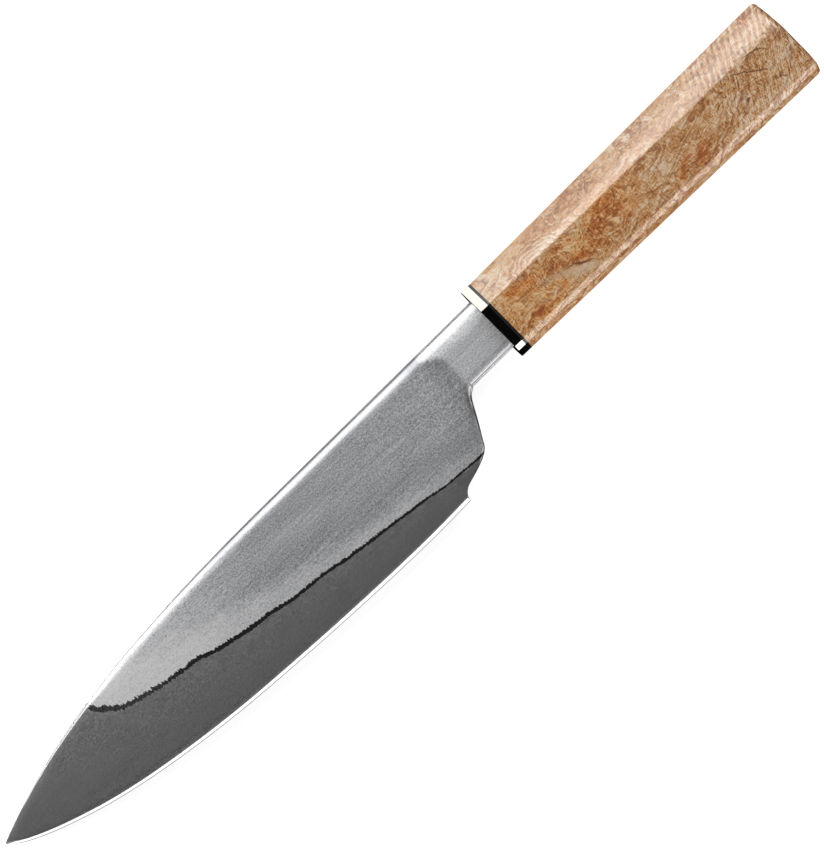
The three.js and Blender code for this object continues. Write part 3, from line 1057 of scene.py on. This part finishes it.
# %% Wood colours
honey = wood.node("ValToRGB", tone, stops=[
    (0.05, "#753a0f"), (0.27, "#a86427"), (0.41, "#c68747"), (0.54, "#d8a167"), (0.7, "#e6c198"),
    (0.95, "#f4e2cc")])
golden = wood.node("ValToRGB", tone, stops=[
    (0.12, "#783808"), (0.34, "#bd6b1e"), (0.5, "#dc9544"), (0.8, "#f2cd98")])
orange = wood.node("ValToRGB", tone, stops=[
    (0.1, "#7a3005"), (0.33, "#b85a12"), (0.52, "#d98028"), (0.85, "#f0b772")])
LINE_BROWN = colour("#7e3a10")
base = honey
for zone, strength, shade in (
    (golden_zone, 0.9, golden),
    (orange_zone, wood.node("MapRange", mottle, 0.58, 0.42, 0.5, 1.0), orange),
    (brown_zone, wood.node("MapRange", mottle, 0.56, 0.38, 0.0, 0.7), colour("#964c12")),
    (ash_zone, 0.4, colour("#ceb08e")),
    (wood.node("Math MULTIPLY", line_dark, line_fade),
     wood.node("MapRange", arch_share, 0, 1, 0.72, 0.5), LINE_BROWN),
):
    share = wood.node("Math MULTIPLY", zone, strength)
    base = wood.node("Mix", share, base, shade, data_type="RGBA")
print("wood colours mixed with", len(wood.tree.nodes), "nodes so far")

# %% [markdown]
# The eyes are tiny buds, dark in the middle, and a Voronoi texture scatters points as nature does.
# A few checks opened while the block dried, and dark resin filled them.

# %% Eyes and checks
buds = wood.pattern("TexVoronoi", (2.2, 1.8, 2.1), curled)
bud_share = wood.node("Math MULTIPLY", wood.node("MapRange", buds, 0.3, 0.1), eyes_zone)
CHECKS = [(320, 8.6, 7.5, 0.22, -32), (325.5, 11.2, 5, 0.2, -22), (327, 0, 2.0, 0.25, -28),
          (335.5, -1.7, 2.2, 0.16, -3), (315, 1.2, 0.8, 0.35, 0), (265.5, 10, 3.4, 0.25, 48),
          (245, 3.2, 5.2, 0.25, -24)]
check_share = 0.0
for check in CHECKS:
    mark = wood.node("MapRange", distance(*check, bitten), 1.1, 0.6)
    check_share = wood.node("Math MAXIMUM", check_share, mark)
for zone, strength, shade in ((bud_share, 0.7, "#7c3a10"), (check_share, 0.85, "#6e2e08")):
    share = wood.node("Math MULTIPLY", zone, strength)
    base = wood.node("Mix", share, base, colour(shade), data_type="RGBA")
print("checks:", len(CHECKS))

# %% [markdown]
# Pale threads show where the fibre runs out through the face, each with its own shadow line beside
# it. They follow the calm coordinates, as real fibre keeps its direction through the curls.

# %% Pale threads
THREADS = [(291, 6.7, 15, 0.3, 19), (284, 3.4, 11, 0.22, 15), (297, 11.3, 7, 0.2, 14),
           (252.5, 9, 0.2, 4, 14), (223.3, -1.6, 0.16, 3.2, -4), (306, 17.5, 4, 0.25, 35),
           (272.5, 2.6, 0.3, 3.2, 10)]
for x, y, *shape in THREADS:
    for dx, dy, strength, shade in ((0.25, -0.35, 0.55, "#95531c"), (0, 0, 0.4, "#ecc896")):
        thread = wood.node("MapRange", distance(x + dx, y + dy, *shape, lazy), 1.1, 0.4)
        share = wood.node("Math MULTIPLY", thread, strength)
        base = wood.node("Mix", share, base, colour(shade), data_type="RGBA")
relief = wood.layered(along, (across, 0, 1.0), (line_highlight, 0, 1.0))
wood.shade(
    Base_Color=base, Roughness=0.5, Coat_Weight=1.0, Coat_Roughness=0.12, Coat_IOR=1.5,
    Normal=wood.node("Bump", Height=relief, Distance=0.02 * MM),
)

# %% [markdown]
# The wooden body runs from the spacer to the butt, whose rim is rounded over and whose end is a low
# dome. Its slot stops just past the tang.

# %% Handle
BUTT_DOME, BUTT_ROUND, BUTT_STEPS, SHAFT_STEPS = 0.8, 1.9, 8, 12
rim = []
for i in range(BUTT_STEPS + 1):
    angle = i / BUTT_STEPS * math.pi / 2
    rim.append((BUTT_X - BUTT_DOME - BUTT_ROUND * (1 - math.sin(angle)),
                BUTT_ROUND * (1 - math.cos(angle))))
dome = [(BUTT_X - BUTT_DOME * (1 - share) ** 2, BUTT_ROUND + 7.0 * share)
        for share in (0.25, 0.5, 0.75, 1.0)]
shaft = [(WOOD_X + (rim[0][0] - WOOD_X) * i / SHAFT_STEPS, 0) for i in range(SHAFT_STEPS)]
handle = slotted_body(
    "burl_handle", shaft + rim + dome,
    [(WOOD_X, slot_outline(2.0, 15.0, 2.3)), (TANG_END_X + 3, slot_outline(4.5, 12.7, 2.3))],
    wood.material, 0.22)
place(handle, "handle_block", "handle_wood")

# %% [markdown]
# The resin round the tang stays inside the handle, so its CAD solid is kept and only given its
# finish: cast epoxy, a cloudy amber where it can be seen at all.

# %% Tang bedding
resin = Finish("cast_epoxy_bedding")
haze = resin.pattern("TexNoise", (3, 3, 3), Detail=2.0)
resin.shade(
    Base_Color=resin.node("ValToRGB", haze, stops=[(0.3, "#b9a679"), (0.7, "#d3c49a")]),
    Roughness=0.3, IOR=1.55,
)
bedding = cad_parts["tang_bedding"]
bedding.data.materials.clear()
bedding.data.materials.append(resin.material)

# %% [markdown]
# ## Studio
#
# The knife lies on white paper that glows a little, as a light table does, so the ground stays
# pale without a shadow. The paper is kept out of the reflections, so it can't brighten the steel.

# %% Floor
FLOOR_HALF, FLOOR_GAP = 3.0, 0.0003  # metres
bm = bmesh.new()
bmesh.ops.create_grid(bm, x_segments=1, y_segments=1, size=FLOOR_HALF)
floor_mesh = bpy.data.meshes.new("floor")
bm.to_mesh(floor_mesh)
bm.free()
floor = bpy.data.objects.new("floor", floor_mesh)
scene.collection.objects.link(floor)
floor.location.z = cad_low.z - FLOOR_GAP
paper = Finish("white_studio_paper")
paper.shade(
    Base_Color=colour("#fbfbfb"), Roughness=0.9, Emission_Color=colour("#ffffff"),
    Emission_Strength=0.72)
floor_mesh.materials.append(paper.material)
floor.visible_glossy = False

# %% [markdown]
# The air adds hardly any light. A bright sky would fill every reflection and turn the steel to
# chalk; a dark room leaves it deep and lets the lamps draw its shape.

# %% Air
world = bpy.data.worlds.new("studio_air")
world.use_nodes = True
air = world.node_tree.nodes["Background"]
air.inputs["Color"].default_value = (1, 1, 1, 1)
air.inputs["Strength"].default_value = 0.004
scene.world = world
print("strength of the air:", round(air.inputs["Strength"].default_value, 3))

# %% [markdown]
# Long softboxes stand on both sides of the knife, and nothing bright hangs straight above, so the
# mirror-like flats stay dark and only sloping faces catch the light. Point lamps would draw dots on
# the polished metal; a long box draws an even band.

# %% Softboxes
def softbox(name, azimuth, elevation, width, height, radiance, distance=1.1):
    """Area light on a sphere round the knife, facing it. Azimuth 0 is +Y, turning towards +X."""
    data = bpy.data.lights.new(name, "AREA")
    data.shape = "RECTANGLE"
    data.size, data.size_y = width, height
    data.energy = radiance * math.pi * width * height
    light = bpy.data.objects.new(name, data)
    a, e = math.radians(azimuth), math.radians(elevation)
    out = Vector((math.sin(a) * math.cos(e), math.cos(a) * math.cos(e), math.sin(e)))
    light.location = out * distance
    light.rotation_mode = "QUATERNION"
    light.rotation_quaternion = (-out).to_track_quat("-Z", "Y")
    scene.collection.objects.link(light)
    return light


softbox("spine_side_low", 0, 4, 2.2, 0.3, 2.0)
strip = softbox("spine_side_strip", 0, 14, 2.2, 0.16, 5.5)
strip.visible_diffuse = False  # it only draws the sheen along the ridge of the handle
softbox("spine_side_high", 0, 62, 2.0, 0.55, 2.5)
softbox("edge_side_low", 180, 7, 2.2, 0.34, 2.9)
softbox("edge_side_high", 180, 52, 2.0, 0.4, 1.7)

# %% [markdown]
# The camera looks straight down on the flank, rolled so that the knife lies across the view from
# its lower left to its upper right. An orthographic camera would show no depth at all; a long lens
# far away keeps the proportions true and still behaves like a real one.

# %% Camera
VIEW_SIZE = 255  # mm of the scene across the longer side of the view
ROLL = math.radians(-44.6)
AIM = row(175.4, 3.8, 1.2)
camera_data = bpy.data.cameras.new("camera")
camera_data.lens, camera_data.sensor_width = 180.0, 36.0
camera = bpy.data.objects.new("camera", camera_data)
span = VIEW_SIZE * MM
camera.location = AIM + Vector((0, 0, span * camera_data.lens / camera_data.sensor_width))
camera.rotation_euler = (0, 0, ROLL)
camera_data.clip_end = 50.0
scene.collection.objects.link(camera)
scene.camera = camera
scene.view_settings.view_transform = "Standard"
scene.view_settings.look = "None"
print("camera height:", round(camera.location.z, 3), "m")
